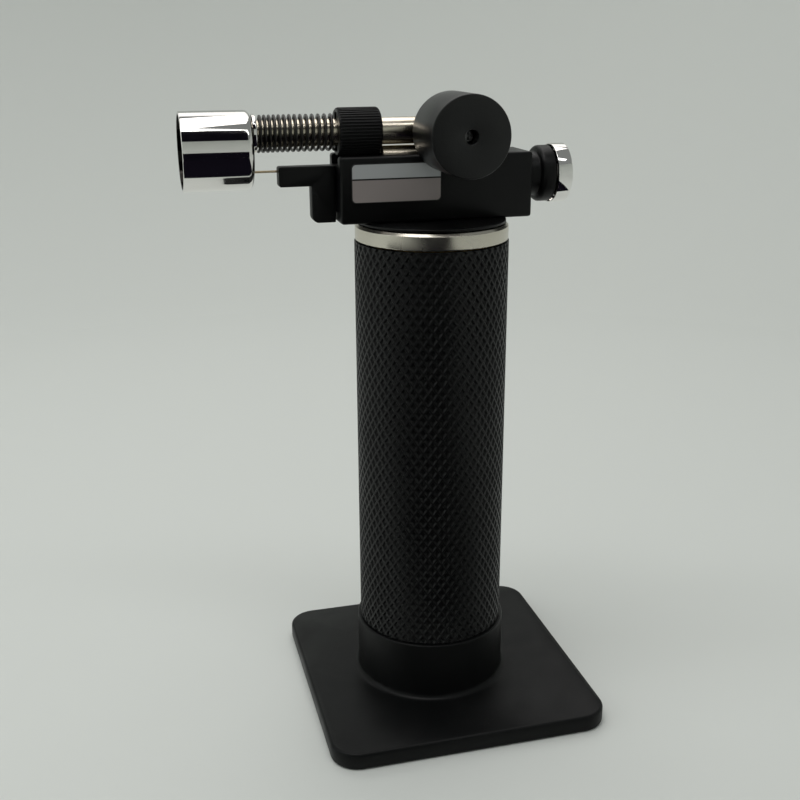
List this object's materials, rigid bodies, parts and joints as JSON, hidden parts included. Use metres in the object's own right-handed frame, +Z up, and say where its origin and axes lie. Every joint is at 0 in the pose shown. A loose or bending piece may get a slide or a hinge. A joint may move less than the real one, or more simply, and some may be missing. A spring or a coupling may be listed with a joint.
{
  "type": "butane torch",
  "caption": "Hand-held butane torch with a knurled handle, a side nozzle, a gas knob and a spark button, standing in a square foot.",
  "frame": {"origin": "on the handle's axis, at the underside of the square foot", "axes": "+Z up along the handle; the burner points along -X; the gas knob faces -Y; the spark button is at +X"},
  "size_m": [0.0898, 0.0668, 0.1458],
  "materials": {
    "black_plastic": "fine satin moulding",
    "handle_coating": "black satin coating, knurled",
    "nickel": "warm satin nickel",
    "chrome": "polished",
    "spring_steel": "dark drawn wire",
    "brass": "turned",
    "electrode_wire": "heat-tinted wire",
    "aluminium": "plain",
    "seal_rubber": "matt",
    "felt": "undyed",
    "white_plastic": "natural",
    "lead_insulation": "red",
    "label": "satin silver"
  },
  "bodies": {
    "stand": {"stand_foot": "black_plastic"},
    "torch": {"housing_near": "black_plastic", "housing_far": "black_plastic", "housing_screw_front": "spring_steel", "housing_screw_rear": "spring_steel", "label_plate": "label", "neck_flange": "black_plastic", "handle_ring": "nickel", "handle_sleeve": "handle_coating", "base_ring": "black_plastic", "fuel_tank": "aluminium", "tank_top_plug": "brass", "tank_o_ring": "seal_rubber", "fuel_wick": "felt", "gas_feed_pipe": "brass", "refill_valve_body": "brass", "refill_valve_gasket": "seal_rubber", "refill_valve_spring": "spring_steel", "valve_block": "handle_coating", "gland_nut": "brass", "spindle_o_ring": "seal_rubber", "gas_jet": "brass", "burner_tube": "nickel", "burner_support_stub": "nickel", "nozzle_ferrule": "chrome", "nozzle_shell": "chrome", "flame_holder": "brass", "burner_tip": "brass", "burner_spring": "spring_steel", "electrode_holder": "black_plastic", "electrode_wire": "electrode_wire", "ignition_lead": "lead_insulation", "piezo_body": "white_plastic", "button_bezel": "black_plastic", "button_spring": "spring_steel"},
    "knob": {"gas_knob": "black_plastic", "knob_screw": "spring_steel", "gas_spindle": "spring_steel"},
    "needle": {"valve_needle": "spring_steel"},
    "collar": {"air_collar": "black_plastic"},
    "button": {"button_cap": "chrome", "piezo_plunger": "white_plastic"},
    "refill_stem": {"refill_valve_stem": "brass"}
  },
  "joints": [
    {"name": "torch_lift", "type": "slide", "parent": "stand", "child": "torch", "axis": [0, 0, 1], "range_m": [0, 0.03]},
    {"name": "gas_knob_turn", "type": "hinge", "parent": "torch", "child": "knob", "pos_m": [0.0022, -0.014, 0.1373], "axis": [0, -1, 0], "range_deg": [0, 270]},
    {"name": "needle_lift", "type": "slide", "parent": "torch", "child": "needle", "axis": [0, -1, 0], "range_m": [0, 0.0004]},
    {"name": "air_collar_turn", "type": "hinge", "parent": "torch", "child": "collar", "pos_m": [-0.017, 0, 0.1373], "axis": [1, 0, 0], "range_deg": [0, 90]},
    {"name": "ignition_button", "type": "slide", "parent": "torch", "child": "button", "axis": [-1, 0, 0], "range_m": [0, 0.0028], "stiffness_N_per_m": 1500, "springref_m": -0.002, "deforming": ["button_spring"]},
    {"name": "refill_press", "type": "slide", "parent": "torch", "child": "refill_stem", "axis": [0, 0, 1], "range_m": [0, 0.0018], "stiffness_N_per_m": 800, "springref_m": -0.001, "deforming": ["refill_valve_spring"]}
  ],
  "couplings": [
    {"joint": "needle_lift", "follows": "gas_knob_turn", "m_per_rad": 0.000079577}
  ]
}
